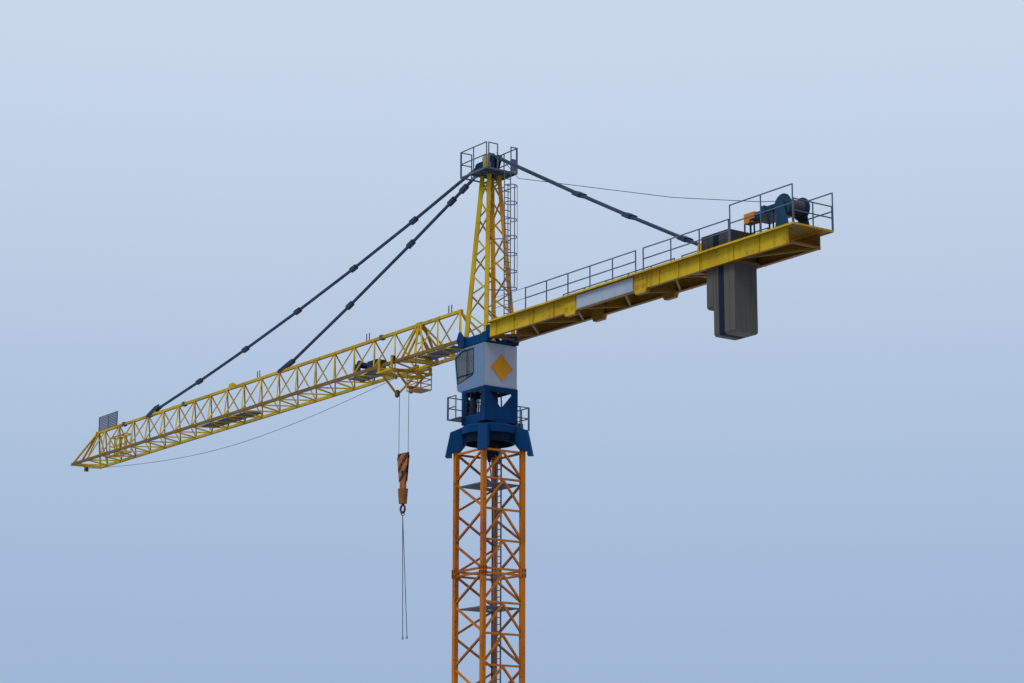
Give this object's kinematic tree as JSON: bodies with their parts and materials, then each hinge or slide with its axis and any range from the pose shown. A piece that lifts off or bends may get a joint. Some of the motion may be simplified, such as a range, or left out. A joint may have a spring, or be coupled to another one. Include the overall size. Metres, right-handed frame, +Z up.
{
  "type": "tower crane scale model",
  "caption": "Tower crane with square lattice mast, slewing cab and tower head, stayed triangular jib with trolley and hook block, and a girder counter-jib with hanging counterweights.",
  "frame": {"origin": "centre of the mast on the underside of the base frame", "axes": "+Z up along the mast, the jib points along -X, the counter-jib along +X, at rest with the jib in line with the mast's faces"},
  "size_m": [31.365, 1.7707, 15.27],
  "materials": {
    "mast_paint": "weathered orange-yellow paint with rust",
    "yellow_paint": "weathered yellow paint",
    "blue_paint": "weathered deep blue paint",
    "grey_steel": "dark galvanised steel",
    "stay_steel": "dark blue-grey paint",
    "bearing_steel": "dark oiled steel",
    "cab_paint": "light grey paint",
    "concrete": "cast concrete",
    "winch_paint": "dark teal paint",
    "block_paint": "worn orange and black paint",
    "machine_paint": "dark machine paint",
    "cover_paint": "orange paint",
    "glass": "tinted glass",
    "rope": "greased wire rope"
  },
  "bodies": {
    "mast": {"base_frame": "mast_paint", "mast_near_side": "mast_paint", "mast_far_side": "mast_paint", "mast_jib_side": "mast_paint", "mast_counter_side": "mast_paint", "mast_ladders": "grey_steel", "mast_platforms": "grey_steel", "slewing_support": "blue_paint", "slewing_ring": "bearing_steel"},
    "upperworks": {"turntable": "blue_paint", "turntable_columns": "blue_paint", "slewing_drives": "machine_paint", "walkways": "grey_steel", "tower_posts": "blue_paint", "cab_shell": "cab_paint", "cab_glass": "glass", "head_frame": "blue_paint", "head_near_side": "yellow_paint", "head_far_side": "yellow_paint", "head_cross_sides": "yellow_paint", "head_cap": "blue_paint", "head_plates": "yellow_paint", "head_sheaves": "bearing_steel", "head_platform": "grey_steel", "head_ladder": "grey_steel", "jib_top_chord": "yellow_paint", "jib_near_side": "yellow_paint", "jib_far_side": "yellow_paint", "jib_bottom_bracing": "yellow_paint", "jib_end_frame": "yellow_paint", "tip_sheave": "bearing_steel", "jib_stays": "stay_steel", "jib_access": "grey_steel", "maintenance_cage": "yellow_paint", "trolley_winch": "machine_paint", "counterjib_near_girder": "yellow_paint", "counterjib_far_girder": "yellow_paint", "counterjib_bracing": "yellow_paint", "counterjib_deck": "yellow_paint", "counterjib_rails": "grey_steel", "counterjib_stays": "stay_steel", "counterweights": "concrete", "hoist_winch": "winch_paint", "resistor_cover": "cover_paint", "winch_drum": "bearing_steel"},
    "trolley": {"trolley_frame": "yellow_paint", "trolley_wheels": "bearing_steel", "trolley_falls": "rope"},
    "hook_block": {"hook_cheeks": "block_paint", "hook_weight": "block_paint"},
    "hook_body": {"hook": "bearing_steel", "sling": "rope"}
  },
  "joints": [
    {"name": "slew", "type": "hinge", "parent": "mast", "child": "upperworks", "pos_m": [0, 0, 8.833], "axis": [0, 0, 1], "continuous": true},
    {"name": "trolley_travel", "type": "slide", "parent": "upperworks", "child": "trolley", "axis": [-1, 0, 0], "range_m": [-1.7, 16.6]},
    {"name": "hoist", "type": "slide", "parent": "trolley", "child": "hook_block", "axis": [0, 0, 1], "range_m": [-4.3, 1.4], "deforming": ["trolley_falls"]},
    {"name": "hook_swivel", "type": "hinge", "parent": "hook_block", "child": "hook_body", "pos_m": [-3.5, 0, 7.5], "axis": [0, 0, 1], "continuous": true}
  ]
}
